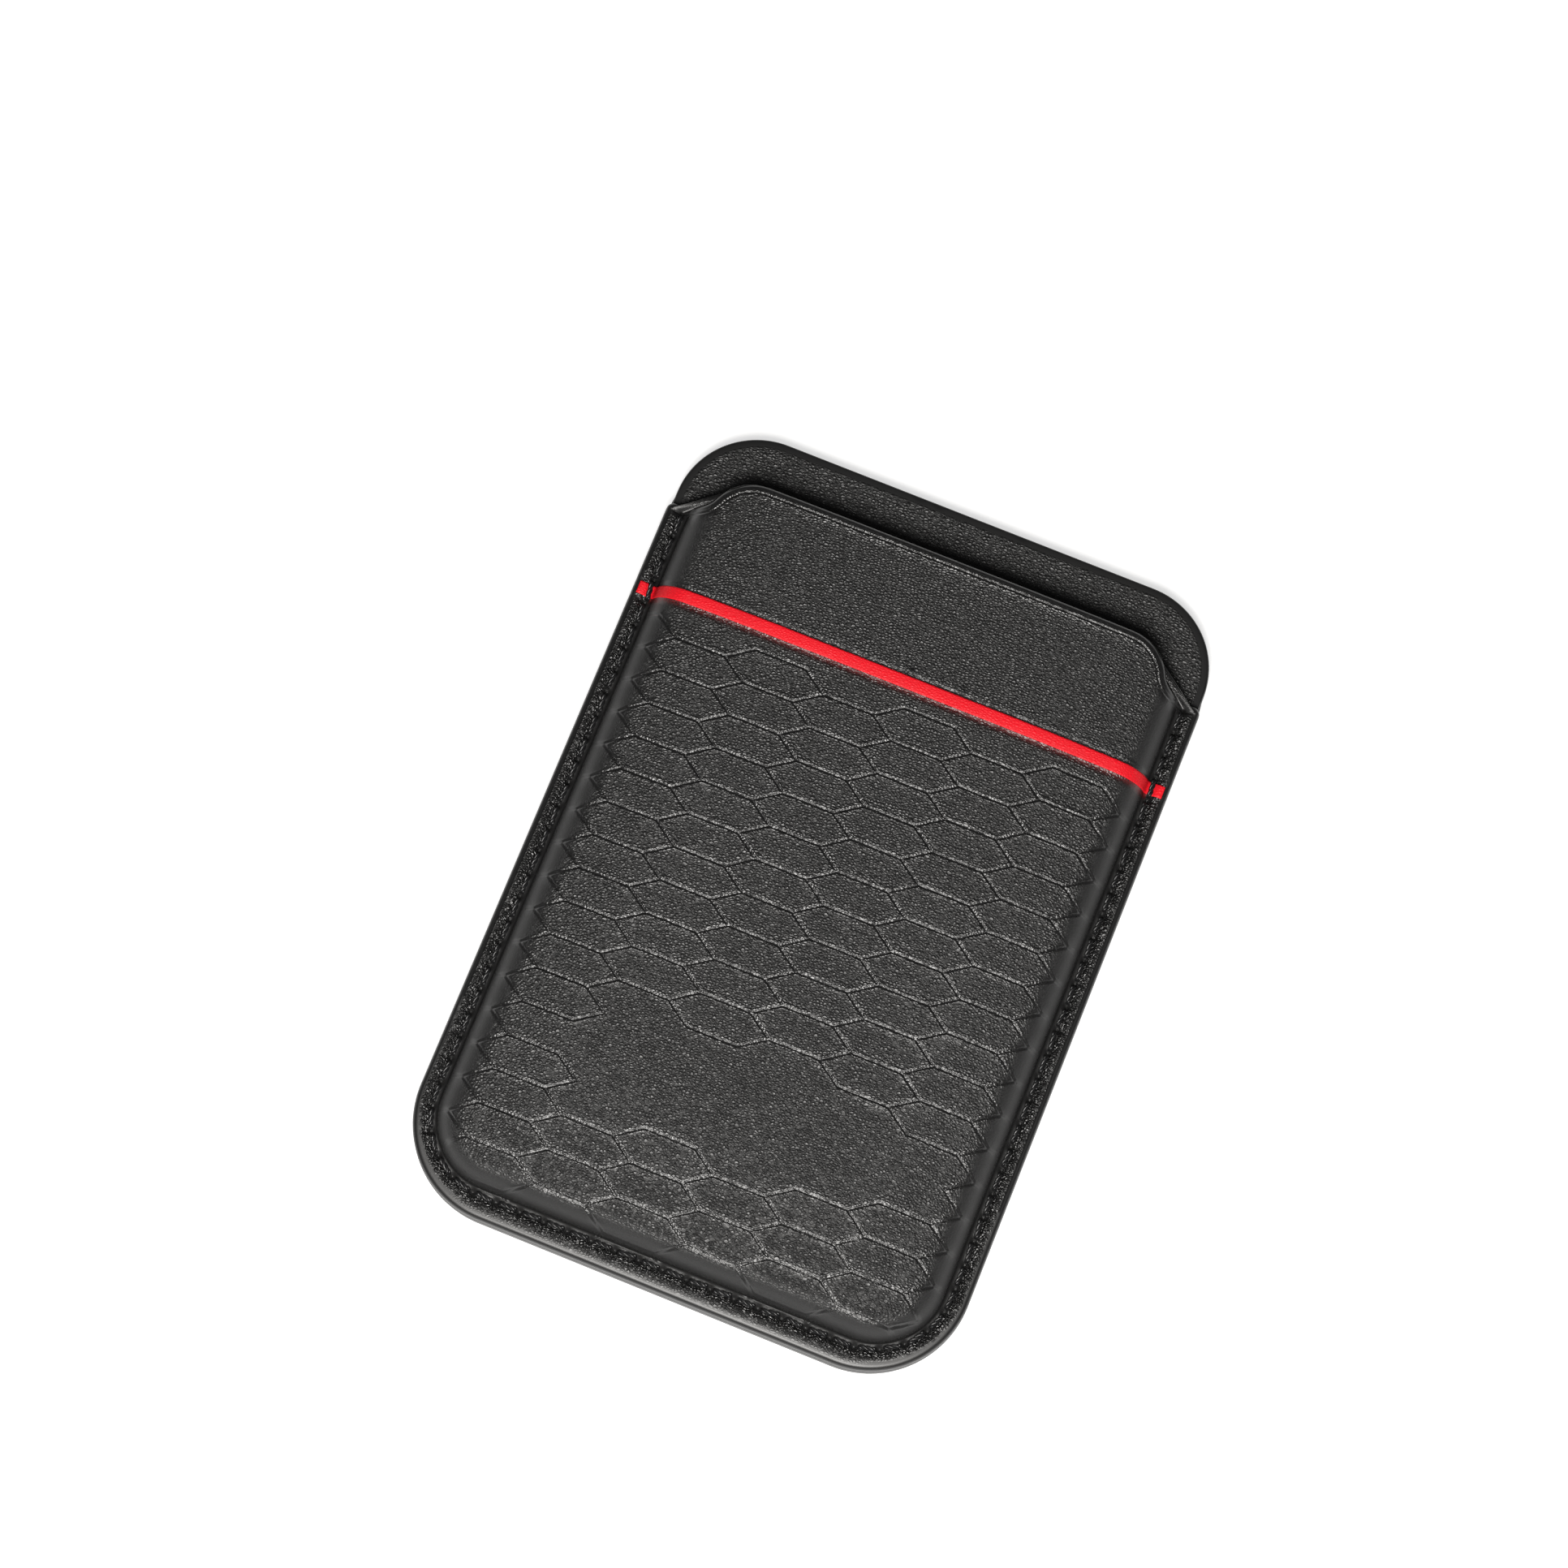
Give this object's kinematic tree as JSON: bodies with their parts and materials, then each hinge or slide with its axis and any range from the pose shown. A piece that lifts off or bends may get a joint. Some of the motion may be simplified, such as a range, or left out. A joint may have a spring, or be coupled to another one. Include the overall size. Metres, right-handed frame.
{
  "type": "magnetic phone card holder",
  "caption": "Moulded leather card pocket sewn to a flat back with a hidden magnet ring, for carrying cards on the back of a phone.",
  "frame": {"origin": "middle of the face that lies against the phone", "axes": "+Y towards the pocket's mouth, along the length; +Z out of the front; +X to the right seen from the front"},
  "size_m": [0.0646, 0.095, 0.0082],
  "materials": {
    "front_leather": "pebbled, pressed with a honeycomb, soft sheen",
    "stripe_inlay": "grained, bright red",
    "seam_thread": "twisted, waxed",
    "back_leather": "pebbled, with a smooth painted edge",
    "stiffener_board": "plain",
    "rear_leather": "fine grain, matt",
    "shield_steel": "plain",
    "magnet_nickel": "nickel plated"
  },
  "bodies": {
    "root": {"front_panel": "front_leather", "red_stripe": "stripe_inlay", "needle_thread": "seam_thread", "bobbin_thread": "seam_thread", "back_panel": "back_leather", "stiffener": "stiffener_board", "rear_cover": "rear_leather", "shield_ring": "shield_steel", "alignment_magnet": "magnet_nickel", "magnet_01": "magnet_nickel", "magnet_02": "magnet_nickel", "magnet_03": "magnet_nickel", "magnet_04": "magnet_nickel", "magnet_05": "magnet_nickel", "magnet_06": "magnet_nickel", "magnet_07": "magnet_nickel", "magnet_08": "magnet_nickel", "magnet_09": "magnet_nickel", "magnet_10": "magnet_nickel", "magnet_11": "magnet_nickel", "magnet_12": "magnet_nickel", "magnet_13": "magnet_nickel", "magnet_14": "magnet_nickel", "magnet_15": "magnet_nickel", "magnet_16": "magnet_nickel", "magnet_17": "magnet_nickel", "magnet_18": "magnet_nickel"}
  },
  "joints": []
}
